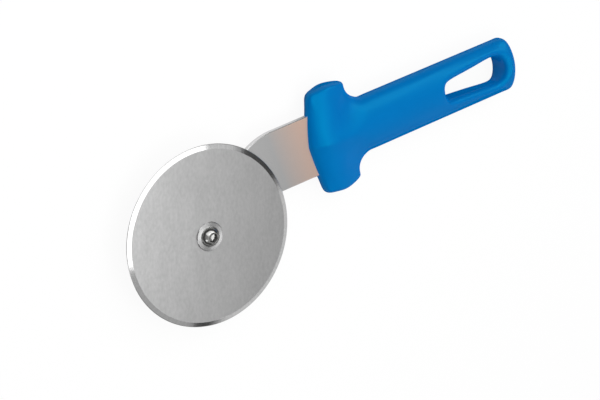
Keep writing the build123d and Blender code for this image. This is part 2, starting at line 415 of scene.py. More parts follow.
# %% [markdown]
# The wheel is punched from stainless sheet whose faces are ground on a belt. The belt leaves
# fine straight lines, so the eye sees a dull grey with a faint grain. They are far too fine
# to be cut into the mesh, so a stretched noise draws them, with a broader one for the belt's
# uneven pressure.

# %% Belt-ground stainless
GRAIN_DIRECTION = radians(77)
FINE_GRAIN = (2.6, 1.5, 1.0)
BROAD_GRAIN = (20.8, 9.0, 1.0)
BROAD_SHARE = 0.4


def belt_grain(tree):
    """Fine streaks. Real belt lines are under 0.1 mm apart and are drawn coarser to show."""
    fine = add_node(tree, "ShaderNodeTexNoise", {
        "Vector": object_pattern(tree, GRAIN_DIRECTION, FINE_GRAIN),
        "Scale": 1.0, "Detail": 2.5, "Roughness": 0.55,
    })
    broad = add_node(tree, "ShaderNodeTexNoise", {
        "Vector": object_pattern(tree, GRAIN_DIRECTION, BROAD_GRAIN),
        "Scale": 1.0, "Detail": 2.0,
    })
    mix = add_node(tree, "ShaderNodeMix", {
        "Factor": BROAD_SHARE, 2: fine.outputs[0], 3: broad.outputs[0],
    })
    return mix.outputs[0]


ground_steel = steel("belt_ground_stainless", "#9A9A9A", "#CBCBCB",
                     roughness=0.33, pattern=belt_grain, depth=0.002)


# %% [markdown]
# The bevel is ground across and then polished, so the eye sees the room mirrored in it, with
# faint marks across. The narrow honed edge was finished on a stone, at a steeper angle, and
# is duller. Both marks run across the rim, so one noise is read by the angle about the axle
# and serves for both. A noise in x and y would not turn round with the rim.

# %% Polished bevel and honed edge
BEVEL_MARKS = 30.0


def cross_marks(tree):
    """Marks across the bevel, BEVEL_MARKS to a radian about the axle. Real ones are finer than these,
    which are 1.7 mm wide at the rim, and are drawn coarser to show."""
    parts = add_node(tree, "ShaderNodeSeparateXYZ", {0: object_pattern(tree)})
    angle = add_node(tree, "ShaderNodeMath", {
        0: parts.outputs[1], 1: parts.outputs[0],
    }, operation="ARCTAN2")
    turns = add_node(tree, "ShaderNodeMath", {0: angle.outputs[0], 1: BEVEL_MARKS}, operation="MULTIPLY")
    marks = add_node(tree, "ShaderNodeTexNoise", {
        "W": turns.outputs[0], "Scale": 1.0, "Detail": 3.0,
    }, noise_dimensions="1D")
    return marks.outputs[0]


polished_steel = steel("polished_stainless", "#D6D6D6", "#EAEAEA",
                       roughness=0.12, pattern=cross_marks, depth=0.008, spread=0.03)
honed_steel = steel("honed_stainless", "#A2A2A2", "#BEBEBE",
                    roughness=0.30, pattern=cross_marks, depth=0.004)


# %% [markdown]
# The cutting wheel is a thin disc. Its bevel is ground from both sides and ends in the honed
# edge. A cylinder with bevelled edges would do for one slope, but a profile can have a point
# for each change of slope, so it is spun. Its faces are then sorted by their distance from
# the axle into ground face, polished bevel and honed edge.

# %% Cutting wheel
BEVEL_WIDTH = 2.65
HONE_WIDTH = 0.25
HONE_THICKNESS = 0.435
EDGE_THICKNESS = 0.04
BORE_RADIUS = 5.55
WHEEL_STEPS = 360

wheel_back, wheel_front = heights("cutting_wheel")
wheel_middle = (wheel_back + wheel_front) / 2
wheel_radius = radius("cutting_wheel")
bevel_start = wheel_radius - BEVEL_WIDTH
hone_start = wheel_radius - HONE_WIDTH
wheel_bm = spun([
    (BORE_RADIUS, wheel_front),
    (bevel_start, wheel_front),
    (hone_start, wheel_middle + HONE_THICKNESS / 2),
    (wheel_radius, wheel_middle + EDGE_THICKNESS / 2),
    (wheel_radius, wheel_middle - EDGE_THICKNESS / 2),
    (hone_start, wheel_middle - HONE_THICKNESS / 2),
    (bevel_start, wheel_back),
    (BORE_RADIUS, wheel_back),
], closed=True, steps=WHEEL_STEPS)
for face in wheel_bm.faces:
    distance = (face.calc_center_median() - hub).xy.length / MM
    face.material_index = (distance > bevel_start) + (distance > hone_start)
finished(wheel_bm, "wheel_disc", "cutting_wheel", "wheel",
         [ground_steel, polished_steel, honed_steel], sharp=3)


# %% [markdown]
# The ring on the wheel's face is turned on a lathe. The tool leaves rings round the axle, and
# rings reflect a light as two bright wedges. Real grooves would need thousands of faces, so
# the shader's anisotropy, along a radial tangent, gives the wedges, and a noise that is read
# by the distance from the axle gives the rings.

# %% Front washer
RING_SPACING = 0.35
WASHER_CHAMFER = 0.3
SCREW_HOLE_RADIUS = 3.1


def lathe_rings(tree):
    """Rings round the axle. Real ones are about 0.1 mm apart and are drawn coarser to show."""
    flat = add_node(tree, "ShaderNodeVectorMath", {
        0: object_pattern(tree, size=(RING_SPACING,) * 3), 1: (1, 1, 0),
    }, operation="MULTIPLY")
    distance = add_node(tree, "ShaderNodeVectorMath", {0: flat.outputs[0]}, operation="LENGTH")
    rings = add_node(tree, "ShaderNodeTexNoise", {
        "W": distance.outputs["Value"], "Scale": 1.0, "Detail": 1.0,
    }, noise_dimensions="1D")
    return rings.outputs[0]


turned_steel = steel("turned_stainless", "#ACACAC", "#DCDCDC",
                     roughness=0.22, pattern=lathe_rings, depth=0.001, spread=0.03, stretch=0.97)
washer_back, washer_front = heights("front_washer")
washer_radius = radius("front_washer")
washer_bm = spun([
    (SCREW_HOLE_RADIUS, washer_back),
    (washer_radius, washer_back),
    (washer_radius, washer_front - WASHER_CHAMFER),
    (washer_radius - WASHER_CHAMFER, washer_front),
    (SCREW_HOLE_RADIUS, washer_front),
], closed=True)
finished(washer_bm, "turned_ring", "front_washer", "holder", [turned_steel])


# %% [markdown]
# Small fasteners are tumbled in a drum until they are smooth, so the eye sees a soft mirror
# with a faint cloudiness. The inside of a socket stays as the forging punch left it, duller,
# and its walls are painted dark as painted shade in the recess. A noise about a millimetre
# across is enough for both.

# %% Fastener steel
def tumbled_clouds(tree):
    """Faint cloudiness of a tumbled fastener, about a millimetre across."""
    clouds = add_node(tree, "ShaderNodeTexNoise", {
        "Vector": object_pattern(tree), "Scale": 1.0, "Detail": 4.0,
    })
    return clouds.outputs[0]


fastener_steel = steel("tumbled_stainless", "#A6A6A5", "#BEBEBC",
                       roughness=0.15, pattern=tumbled_clouds, depth=0.004, spread=0.04)
# The socket's dark colour is painted shade in the recess, its higher roughness the duller forged finish
socket_painted_shade_steel = steel("socket_painted_shade_stainless", "#3C3C3C", "#4E4E4D",
                     roughness=0.35, pattern=tumbled_clouds, depth=0.004)


# %% [markdown]
# The screw has a low button head with a hexagon socket. Its round form is spun, with a dome
# of one arc whose top is left open. The hexagon could be cut out with a boolean, but that
# leaves thin triangles that show on a shiny dome.

# %% Button head
SCREW_RADIUS = 3.0
TIP_CHAMFER = 0.6
HEAD_RIM = 0.5
HEAD_CORNER = 0.1
HEAD_MOUTH_RADIUS = 3.0
SOCKET_SIDES = 6
SOCKET_STEPS = 16
DOME_STEPS = 12


def dome(start, end, steps):
    """Points from start to end on an arc whose centre is on the axle."""
    centre = (end[0] ** 2 + end[1] ** 2 - start[0] ** 2 - start[1] ** 2) / (2 * (end[1] - start[1]))
    sphere = hypot(start[0], start[1] - centre)
    side = 1 if end[1] > centre else -1
    points = []
    for step in range(steps + 1):
        distance = start[0] + (end[0] - start[0]) * step / steps
        points.append((distance, centre + side * sqrt(sphere ** 2 - distance ** 2)))
    return points


screw_tip, head_top = heights("axle_screw")
head_radius = radius("axle_screw")
head_bottom = washer_front
screw_bm = spun([
    (0, screw_tip),
    (SCREW_RADIUS - TIP_CHAMFER, screw_tip),
    (SCREW_RADIUS, screw_tip + TIP_CHAMFER),
    (SCREW_RADIUS, head_bottom),
    (head_radius - HEAD_CORNER, head_bottom),
    (head_radius, head_bottom + HEAD_CORNER),
    *dome((head_radius, head_bottom + HEAD_RIM), (HEAD_MOUTH_RADIUS, head_top), DOME_STEPS),
], closed=False, steps=SOCKET_SIDES * SOCKET_STEPS)
print("screw from", round(screw_tip, 2), "to", round(head_top, 2), "mm")


# %% [markdown]
# The socket is a hexagonal hole with a sloping lead-in and the point that a drill left. Its
# mouth is a hexagon with as many edges as the head's open rim, so the two can be bridged
# cleanly. The loop is then pushed down twice and closed.

# %% Hexagon socket
SOCKET_ACROSS = 4.0
SOCKET_DEPTH = 2.2
SOCKET_LEAD_IN = 0.45
SOCKET_DRILL_POINT = 0.5


def push_down(bm, edges, depth, narrower):
    """Extrudes a loop downwards and narrows it by a share. Returns the new loop's edges."""
    new = bmesh.ops.extrude_edge_only(bm, edges=edges)["geom"]
    vertices = [item for item in new if isinstance(item, bmesh.types.BMVert)]
    bmesh.ops.scale(bm, verts=vertices, vec=(narrower, narrower, 1), space=Matrix.Translation(-hub))
    bmesh.ops.translate(bm, verts=vertices, vec=(0, 0, -depth * MM))
    return [item for item in new if isinstance(item, bmesh.types.BMEdge) and item.is_boundary]


mouth_across = SOCKET_ACROSS + 2 * SOCKET_LEAD_IN
head_edges = [edge for edge in screw_bm.edges if edge.is_boundary]
mouth = bmesh.ops.create_circle(screw_bm, segments=SOCKET_SIDES, radius=mouth_across / sqrt(3) * MM,
                                matrix=Matrix.Translation((hub.x, hub.y, head_top * MM)))["verts"]
mouth_edges = list({edge for vertex in mouth for edge in vertex.link_edges})
bmesh.ops.subdivide_edges(screw_bm, edges=mouth_edges, cuts=SOCKET_STEPS - 1)
mouth_edges = [edge for edge in screw_bm.edges if not edge.link_faces]
bmesh.ops.bridge_loops(screw_bm, edges=head_edges + mouth_edges)
lead_in_edges = push_down(screw_bm, mouth_edges, SOCKET_LEAD_IN, SOCKET_ACROSS / mouth_across)
bottom_edges = push_down(screw_bm, lead_in_edges, SOCKET_DEPTH - SOCKET_LEAD_IN, 1.0)
# The lead-in and the walls of the socket get the painted shade, and the drilled bottom stays bright
for edge in lead_in_edges:
    for face in edge.link_faces:
        face.material_index = 1
socket_bottom = bmesh.ops.edgeloop_fill(screw_bm, edges=bottom_edges)["faces"]
bmesh.ops.poke(screw_bm, faces=socket_bottom, offset=-SOCKET_DRILL_POINT * MM)
bmesh.ops.recalc_face_normals(screw_bm, faces=screw_bm.faces)
finished(screw_bm, "button_screw", "axle_screw", "holder",
         [fastener_steel, socket_painted_shade_steel])


# %% [markdown]
# The wheel turns on a white bush, and a ring of the same plastic keeps it off the arm. Both
# are turned from natural acetal rod, so the eye sees a milky, slightly shiny white with faint
# tool marks. A plain white would look like paint, so a little light goes into the surface.

# %% Natural acetal
ACETAL_MARK_DEPTH = 0.01

acetal, tree = new_material("turned_natural_acetal")
marks = lathe_rings(tree)
colour = add_node(tree, "ShaderNodeMix", {
    "Factor": marks, 6: linear("#E6E6E0"), 7: linear("#F0F0EB"),
}, data_type="RGBA")
bump = add_node(tree, "ShaderNodeBump", {"Height": marks, "Distance": ACETAL_MARK_DEPTH * MM})
surface = add_node(tree, "ShaderNodeBsdfPrincipled", {
    "Base Color": colour.outputs[2],
    "Roughness": 0.38,
    "IOR": 1.48,
    "Subsurface Weight": 0.15,
    "Subsurface Scale": 1.0 * MM,
    "Normal": bump.outputs[0],
})
add_node(tree, "ShaderNodeOutputMaterial", {"Surface": surface.outputs[0]})
print("finish", acetal.name)


# %% [markdown]
# The bush is a tube with a flange, pressed into the wheel. The thrust washer is a ring as wide
# as the flange. Two tubes could be joined for the bush, but one profile leaves no seam. The
# outer edges are broken, as on any turned plastic.

# %% Bush and thrust washer
FLANGE_RADIUS = 8.5
RUNNING_RADIUS = 4.05
FLANGE_THICKNESS = 1.2
ACETAL_BREAK = 0.1


def ring_profile(inner, outer, back, front, edge):
    """Profile of a ring whose two outer edges are broken."""
    return [
        (inner, back),
        (outer - edge, back),
        (outer, back + edge),
        (outer, front - edge),
        (outer - edge, front),
        (inner, front),
    ]


bush_back, bush_front = heights("wheel_bush")
flange_front = bush_back + FLANGE_THICKNESS
bush_bm = spun([
    *ring_profile(RUNNING_RADIUS, FLANGE_RADIUS, bush_back, flange_front, ACETAL_BREAK)[:-1],
    (BORE_RADIUS, flange_front),
    (BORE_RADIUS, bush_front),
    (RUNNING_RADIUS, bush_front),
], closed=True)
finished(bush_bm, "acetal_bush", "wheel_bush", "wheel", [acetal])

thrust_section = ring_profile(RUNNING_RADIUS, FLANGE_RADIUS, *heights("thrust_washer"), ACETAL_BREAK)
thrust_bm = spun(thrust_section, closed=True)
finished(thrust_bm, "acetal_thrust_washer", "thrust_washer", "holder", [acetal])


# %% [markdown]
# Behind the arm a split spring washer keeps the nut tight. A whole ring could be cut through,
# but it is simpler to spin its section almost all the way round and close both ends. The
# upper half is then turned a little against the lower one, which slants the split.

# %% Lock washer
SPLIT_ANGLE = radians(13)
SPLIT_SLANT = radians(10)
LOCK_BREAK = 0.15

lock_back, lock_front = heights("lock_washer")
lock_middle = (lock_back + lock_front) / 2
lock_radius = radius("lock_washer")
lock_section = ring_profile(SCREW_HOLE_RADIUS, lock_radius, lock_back, lock_front, LOCK_BREAK)
lock_bm = spun(lock_section, closed=True, turn=2 * pi - SPLIT_ANGLE)
bmesh.ops.holes_fill(lock_bm, edges=[edge for edge in lock_bm.edges if edge.is_boundary])
bmesh.ops.rotate(lock_bm, verts=lock_bm.verts, cent=hub, matrix=Matrix.Rotation(SPLIT_ANGLE, 3, "Z"))
upper = [vertex for vertex in lock_bm.verts if vertex.co.z > lock_middle * MM]
bmesh.ops.rotate(lock_bm, verts=upper, cent=hub, matrix=Matrix.Rotation(SPLIT_SLANT, 3, "Z"))
bmesh.ops.recalc_face_normals(lock_bm, faces=lock_bm.faces)
finished(lock_bm, "split_lock_washer", "lock_washer", "holder", [fastener_steel])


# %% [markdown]
# The cap nut covers the screw's end with a dome. A hexagonal prism would need its chamfers
# added, so it is made as on a lathe: its whole round form is spun first, with the dome and
# the chamfers, and then six flats are cut from it. The cuts give the chamfers their arcs.

# %% Cap nut
NUT_HEXAGON_HEIGHT = 4.5
NUT_ACROSS = 10.0
NUT_CHAMFER = 0.5
NUT_STEPS = 96
DOME_RADIUS = 4.6
THREAD_RADIUS = 3.02
THREAD_DEPTH = 6.0

nut_tip, nut_seat = heights("cap_nut")
dome_base = nut_seat - NUT_HEXAGON_HEIGHT
corner_radius = NUT_ACROSS / sqrt(3)
nut_bm = spun([
    *dome((0, nut_tip), (DOME_RADIUS, dome_base), DOME_STEPS),
    (NUT_ACROSS / 2, dome_base),
    (corner_radius, dome_base + NUT_CHAMFER),
    (corner_radius, nut_seat - NUT_CHAMFER),
    (NUT_ACROSS / 2, nut_seat),
    (THREAD_RADIUS, nut_seat),
    (THREAD_RADIUS, nut_seat - THREAD_DEPTH),
    (0, nut_seat - THREAD_DEPTH),
], closed=False, steps=NUT_STEPS)
for flat in range(6):
    angle = radians(30 + 60 * flat)
    outwards = Vector((cos(angle), sin(angle), 0))
    bmesh.ops.bisect_plane(nut_bm, geom=nut_bm.verts[:] + nut_bm.edges[:] + nut_bm.faces[:],
                           plane_co=hub + outwards * NUT_ACROSS / 2 * MM, plane_no=outwards,
                           clear_outer=True)
    bmesh.ops.holes_fill(nut_bm, edges=[edge for edge in nut_bm.edges if edge.is_boundary])
bmesh.ops.recalc_face_normals(nut_bm, faces=nut_bm.faces)
finished(nut_bm, "domed_cap_nut", "cap_nut", "holder", [fastener_steel])


# %% [markdown]
# The arm is cut from stainless plate. Its faces have a satin finish, so the eye sees an even
# grey without streaks. Towards the handle a warm straw colour is painted in. It is a painted
# reflection of warm surroundings, read by the distance along the arm. The cut edges get a
# lighter steel, partly for their sheared finish and partly as painted highlight for the bright
# line that they show. One material with a mask could hold both, but two are plainer: the
# satin one with its painted reflection, and the lighter steel for the edges.

# %% Satin stainless with painted reflection, and edge steel
SATIN_GRAIN = 0.5
SATIN_DEPTH = 0.002
WARM_REFLECTION_TURN = radians(10)
WARM_REFLECTION_START = 55.0
WARM_REFLECTION_END = 77.0


def satin_grain(tree):
    """Fine grain of a satin finish, drawn coarser than the real one to show."""
    grain = add_node(tree, "ShaderNodeTexNoise", {
        "Vector": object_pattern(tree, size=(SATIN_GRAIN,) * 3),
        "Scale": 1.0, "Detail": 5.0, "Roughness": 0.6,
    })
    return grain.outputs[0]


satin, tree = new_material("satin_stainless_plate_painted_reflection")
grain = satin_grain(tree)
# Painted reflection: the plate turns warm towards the handle, standing in for warm surroundings that it
# mirrors
parts = add_node(tree, "ShaderNodeSeparateXYZ", {0: object_pattern(tree, WARM_REFLECTION_TURN)})
painted_reflection_share = add_node(tree, "ShaderNodeMapRange", {
    "Value": parts.outputs[0], "From Min": WARM_REFLECTION_START, "From Max": WARM_REFLECTION_END,
})
plain = add_node(tree, "ShaderNodeMix", {
    "Factor": grain, 6: linear("#B2B2B2"), 7: linear("#C3C3C3"),
}, data_type="RGBA")
painted_warm_reflection = add_node(tree, "ShaderNodeMix", {
    "Factor": grain, 6: linear("#DDBDAC"), 7: linear("#EECDBB"),
}, data_type="RGBA")
colour = add_node(tree, "ShaderNodeMix", {
    "Factor": painted_reflection_share.outputs[0], 6: plain.outputs[2], 7: painted_warm_reflection.outputs[2],
}, data_type="RGBA")
bump = add_node(tree, "ShaderNodeBump", {"Height": grain, "Distance": SATIN_DEPTH * MM})
surface = add_node(tree, "ShaderNodeBsdfPrincipled", {
    "Base Color": colour.outputs[2],
    "Metallic": 1.0,
    "Roughness": 0.35,
    "Normal": bump.outputs[0],
})
add_node(tree, "ShaderNodeOutputMaterial", {"Surface": surface.outputs[0]})
print("finish", satin.name)
# Lighter steel for the cut edges: partly their sheared finish, partly painted highlight
edge_steel_and_highlight = steel("cut_edge_stainless_and_painted_highlight", "#E6E6E6", "#F6F6F6",
                    roughness=0.25, pattern=satin_grain, depth=SATIN_DEPTH)


# %% [markdown]
# The arm's outline, with its chamfered rims, is right in the CAD model and isn't drawn again.
# A copy of its mesh is merged and its flat triangles are joined, and the rims of its drilled
# holes are broken a little. Faces that lie flat get the satin, the rest the lighter edge steel
# with its painted highlight. The sleeve round the screw hardly shows, so its CAD node stays and
# only gets a finish.

# %% Arm and sleeve
FLAT_ANGLE = radians(0.5)
HOLE_RIM_ANGLE = radians(80)
HOLE_BREAK = 0.25
LEVEL_DISTANCE = 0.01 * MM
FLAT_NORMAL = 0.95

arm_node = frame["nodes"]["arm"]
arm_bm = bmesh.new()
arm_bm.from_mesh(arm_node.data)
bmesh.ops.transform(arm_bm, matrix=arm_node.matrix_world, verts=arm_bm.verts)
bmesh.ops.remove_doubles(arm_bm, verts=arm_bm.verts, dist=MERGE_DISTANCE)
bmesh.ops.recalc_face_normals(arm_bm, faces=arm_bm.faces)
bmesh.ops.dissolve_limit(arm_bm, angle_limit=FLAT_ANGLE, verts=arm_bm.verts, edges=arm_bm.edges)
hole_rims = [edge for edge in arm_bm.edges if edge.calc_face_angle(0) > HOLE_RIM_ANGLE
             and abs(edge.verts[0].co.z - edge.verts[1].co.z) < LEVEL_DISTANCE]
bmesh.ops.bevel(arm_bm, geom=hole_rims, offset=HOLE_BREAK * MM, offset_type="OFFSET", segments=2,
                profile=0.5, affect="EDGES", material=-1)
for face in arm_bm.faces:
    face.material_index = abs(face.normal.z) < FLAT_NORMAL
finished(arm_bm, "arm_plate", "arm", "holder", [satin, edge_steel_and_highlight], sharp=20)

for slot in frame["nodes"]["axle_sleeve"].material_slots:
    slot.material = fastener_steel
print("axle_sleeve is finished in", fastener_steel.name)


# %% [markdown]
# The handle is moulded in one piece from blue plastic. It could be joined from solids with
# rounded seams, but such a soft form is best made as a subdivision surface, which is smooth
# wherever no edge is wanted. One quarter of it is laid out on a board of squares: columns
# along the handle, rows up from its middle line. The slot is taken out, the horn of the
# guard is extruded, and three rings of wall go down to the middle plane.

# %% Handle on the board
COLUMNS = 15
GRIP_ROW = 2
HORN_ROW = 4
GUARD_COLUMN = 4
SLOT_FIRST = 10
SLOT_LAST = 14
RINGS = 3
HALF_SQUARE = 0.5

handle_bm = bmesh.new()
bmesh.ops.create_grid(handle_bm, x_segments=COLUMNS, y_segments=GRIP_ROW, size=HALF_SQUARE)
bmesh.ops.translate(handle_bm, verts=handle_bm.verts, vec=(HALF_SQUARE, HALF_SQUARE, 0))
bmesh.ops.scale(handle_bm, verts=handle_bm.verts, vec=(COLUMNS, GRIP_ROW, 1))
bmesh.ops.translate(handle_bm, verts=handle_bm.verts, vec=(0, 0, RINGS))


def open_edges(bm):
    """The board's open edges, each with the places of its two ends."""
    for edge in bm.edges:
        if edge.is_boundary:
            first, second = (vertex.co for vertex in edge.verts)
            yield edge, first, second


def extrude_board(bm, edges, step):
    """Extrudes board edges by one step."""
    new = bmesh.ops.extrude_edge_only(bm, edges=edges)["geom"]
    vertices = [item for item in new if isinstance(item, bmesh.types.BMVert)]
    bmesh.ops.translate(bm, verts=vertices, vec=step)


slot_faces = []
for face in handle_bm.faces:
    middle = face.calc_center_median()
    if SLOT_FIRST < middle.x < SLOT_LAST and middle.y < 1:
        slot_faces.append(face)
bmesh.ops.delete(handle_bm, geom=slot_faces, context="FACES")
for row in range(GRIP_ROW, HORN_ROW):
    top = [edge for edge, first, second in open_edges(handle_bm)
           if min(first.y, second.y) > row - HALF_SQUARE
           and max(first.x, second.x) < GUARD_COLUMN + HALF_SQUARE]
    extrude_board(handle_bm, top, (0, 1, 0))
for ring in range(RINGS, 0, -1):
    rim = [edge for edge, first, second in open_edges(handle_bm)
           if max(first.z, second.z) < ring + HALF_SQUARE
           and max(first.y, second.y) > HALF_SQUARE]
    extrude_board(handle_bm, rim, (0, 0, -1))
print("board", len(handle_bm.verts), "points", len(handle_bm.faces), "faces")


# %% [markdown]
# Each board point then moves to its place. Seen from the front, the outline is the guard's
# nose, the horn, a round neck, the grip and the end. Traced points would be hard to change,
# so each stretch is a short formula of its own. Distances run along the handle from the hub,
# and heights go up from the handle's middle line.

# %% Handle's outline curves
GUARD_NOSE = 73.0
NOSE_SLOPE = 0.095
NOSE_CURVE = 0.0038
GUARD_BACK = 102.7
HORN_MIDDLE = 90.0
HORN_ARC = 25.0
NECK_RADIUS = 10.0
GRIP_HALF_HEIGHT = 15.9
END_BULGE = 2.5

handle_low, handle_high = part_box("handle")
handle_axis = (handle_low.y + handle_high.y) / 2
handle_middle = (handle_low.z + handle_high.z) / 2
half_guard = (handle_high.y - handle_low.y) / 2 / MM
handle_end = (handle_high.x - hub.x) / MM
neck_end = GUARD_BACK + NECK_RADIUS
neck_height = GRIP_HALF_HEIGHT + NECK_RADIUS


def nose(height):
    """Distance of the guard's front from the hub: a blunt V whose sides curve back towards the horns."""
    return GUARD_NOSE + NOSE_SLOPE * height + NOSE_CURVE * height ** 2


def horn(along):
    """Height of the horn's top, an arc that is highest in the guard's middle."""
    return half_guard - HORN_ARC + sqrt(HORN_ARC ** 2 - (along - HORN_MIDDLE) ** 2)


def end(height):
    """Distance of the end wall from the hub, a shallow arc."""
    return handle_end - END_BULGE * (height / GRIP_HALF_HEIGHT) ** 2


print("guard", round(2 * half_guard, 2), "mm high, handle ends", round(handle_end, 2), "mm from the hub")


# %% [markdown]
# Grip and guard are both ovals across, so higher up the outline draws in: steep at the edge
# and flat in the middle. The neck between them gets tighter on the way up, and the two meet
# at the top as a barrel and a bar. That is easy to say for one level: a place is inside the
# guard, the grip or the neck, or it isn't. So the thickness at a place is found by halving
# steps, as the highest level that still reaches it.

# %% Handle's thickness
GUARD_HALF_THICKNESS = 9.3
HORN_HALF_THICKNESS = 5.26
GRIP_HALF_THICKNESS = 9.1
END_HALF_THICKNESS = 8.25
HALVINGS = 16


def oval(share):
    """Height of a round edge, from 0 at the outline to 1 where share reaches 1."""
    return sqrt(1 - (1 - min(max(share, 0), 1)) ** 2)


def blend(value, start, stop):
    """A smooth step from 0 at start to 1 at stop."""
    share = min(max((value - start) / (stop - start), 0), 1)
    return share * share * (3 - 2 * share)


def covers(along, height, level):
    """Whether guard, grip or neck reach a place at a level, 0 in the middle plane and 1 at the top."""
    drawn_in = GRIP_HALF_HEIGHT * (1 - oval(1 - level))
    past_guard = along - GUARD_BACK + drawn_in
    past_grip = height - GRIP_HALF_HEIGHT + drawn_in
    neck = NECK_RADIUS * (1 - level ** 2)
    in_corner = max(past_guard, past_grip) < neck and hypot(neck - past_guard, neck - past_grip) >= neck
    return min(past_guard, past_grip) <= 0 or in_corner


def half_thickness(place):
    """Half thickness of the moulding at a distance from the hub and a height above the axis."""
    along, height = place
    level, step = 0.0, 0.5
    for halving in range(HALVINGS):
        if covers(along, height, level + step):
            level += step
        step /= 2
    guard = GUARD_HALF_THICKNESS + (HORN_HALF_THICKNESS - GUARD_HALF_THICKNESS) * height / half_guard
    taper = max(along - neck_end, 0) / (handle_end - neck_end)
    grip = GRIP_HALF_THICKNESS + (END_HALF_THICKNESS - GRIP_HALF_THICKNESS) * taper
    full = guard + (grip - guard) * blend(along, GUARD_BACK - NECK_RADIUS, neck_end)
    front = 2 * (along - nose(height)) / (GUARD_BACK - nose(height))
    return full * oval(front) * level


print("half thickness in the neck:", round(half_thickness((neck_end, 0)), 2), "mm")


# %% [markdown]
# The outline's points are few: the nose, the horn with its two corners, three points on the
# neck's arc, the grip, the end and the slot. Each has a direction into the material. A round
# edge also has the reach of its oval, and a flat wall, as at the horn's top, the end and the
# slot, the radius of its edge. More points would only bring in bumps.

# %% Guard and neck points
ROW_HEIGHTS = (0.0, 5.5, 13.0, 20.5)
HORN_PLACES = (78.7, 84.3, 90.0, 96.2, 102.0)
HORN_EDGE = 3.3
NECK_POINTS = {(4, 3): 15, (4, 2): 45, (5, 2): 75}
DIAGONAL = sqrt(0.5)

horn_corners = {0: (DIAGONAL, -DIAGONAL), GUARD_COLUMN: (-DIAGONAL, -DIAGONAL)}
outline = {}
for row, height in enumerate(ROW_HEIGHTS):
    outline[0, row] = ((nose(height), height), (1, 0), "round", (GUARD_BACK - nose(height)) / 2)
for column, along in enumerate(HORN_PLACES):
    side = horn_corners.get(column, (0, -1))
    outline[column, HORN_ROW] = ((along, horn(along)), side, "flat", HORN_EDGE)
for point, angle in NECK_POINTS.items():
    side = (-cos(radians(angle)), -sin(radians(angle)))
    place = (neck_end + side[0] * NECK_RADIUS, neck_height + side[1] * NECK_RADIUS)
    outline[point] = (place, side, "round", GRIP_HALF_HEIGHT)
print("guard and neck", len(outline), "points")


# %% [markdown]
# The grip runs straight back to an end that is a shallow arc. Its hanging slot widens towards
# the end and has round corners. It could be cut out afterwards, but then its edge couldn't be
# rounded by the subdivision. Beside it the grip's oval reaches less far in.

# %% Grip, end and slot points
FIRST_GRIP_COLUMN = 6
GRIP_PLACES = (115.0, 129.0, 143.0, 154.0, 162.0, 171.0, 186.0, 200.0, 207.0)
GRIP_REACH = (1.0, 1.0, 0.85, 0.7, 0.6, 0.55, 0.5, 0.5, 0.5)
END_EDGE = 3.6
END_CORNER = 3.8
END_ROW = 9.0
SLOT_EDGE = 3.4
SLOT_FRONT = 164.2
SLOT_BACK = 208.3
SLOT_HALF_FRONT = 5.0
SLOT_HALF_BACK = 8.4
SLOT_FRONT_CORNER = 4.0
SLOT_BACK_CORNER = 8.2


def slot_half(along):
    """Half width of the slot, which widens towards the end."""
    share = (along - SLOT_FRONT) / (SLOT_BACK - SLOT_FRONT)
    return SLOT_HALF_FRONT + (SLOT_HALF_BACK - SLOT_HALF_FRONT) * share


def cut(corner):
    """How far a rounded corner stays back from the sharp one, on each axis."""
    return corner * (1 - DIAGONAL)


for column, (along, reach) in enumerate(zip(GRIP_PLACES, GRIP_REACH), FIRST_GRIP_COLUMN):
    outline[column, GRIP_ROW] = ((along, GRIP_HALF_HEIGHT), (0, -1), "round", GRIP_HALF_HEIGHT * reach)
outline[COLUMNS, GRIP_ROW] = (
    (end(GRIP_HALF_HEIGHT) - cut(END_CORNER), GRIP_HALF_HEIGHT - cut(END_CORNER)),
    (-DIAGONAL, -DIAGONAL), "flat", END_EDGE)
outline[COLUMNS, 1] = ((end(END_ROW), END_ROW), (-1, 0), "flat", END_EDGE)
outline[COLUMNS, 0] = ((end(0), 0), (-1, 0), "flat", END_EDGE)
outline[SLOT_FIRST, 0] = ((SLOT_FRONT, 0), (-1, 0), "flat", SLOT_EDGE)
outline[SLOT_FIRST, 1] = (
    (SLOT_FRONT + cut(SLOT_FRONT_CORNER), SLOT_HALF_FRONT - cut(SLOT_FRONT_CORNER)),
    (-DIAGONAL, DIAGONAL), "flat", SLOT_EDGE)
for column in range(SLOT_FIRST + 1, SLOT_LAST):
    along = GRIP_PLACES[column - FIRST_GRIP_COLUMN]
    outline[column, 1] = ((along, slot_half(along)), (0, 1), "flat", SLOT_EDGE)
outline[SLOT_LAST, 1] = (
    (SLOT_BACK - cut(SLOT_BACK_CORNER), SLOT_HALF_BACK - cut(SLOT_BACK_CORNER)),
    (DIAGONAL, DIAGONAL), "flat", SLOT_EDGE)
outline[SLOT_LAST, 0] = ((SLOT_BACK, 0), (1, 0), "flat", SLOT_EDGE)
print("whole outline", len(outline), "points")


# %% [markdown]
# The rings of wall follow from the outline. On a round edge they go up the oval in equal
# turns. On a flat wall they are its foot, its top, the middle of the edge's rounding and the
# rounding's end on the face. Points off the outline lie on the moulding's face. The quarter
# is then mirrored twice, which is less work than four quarters and can't come out uneven.

# %% Handle's points in place
ROUND_TURN = radians(18)
GUARD_FACE_PLACES = (83.5, 89.5, 96.5, 102.5, 108.5)
HORN_FACE_PLACES = (84.8, 89.3, 93.8)


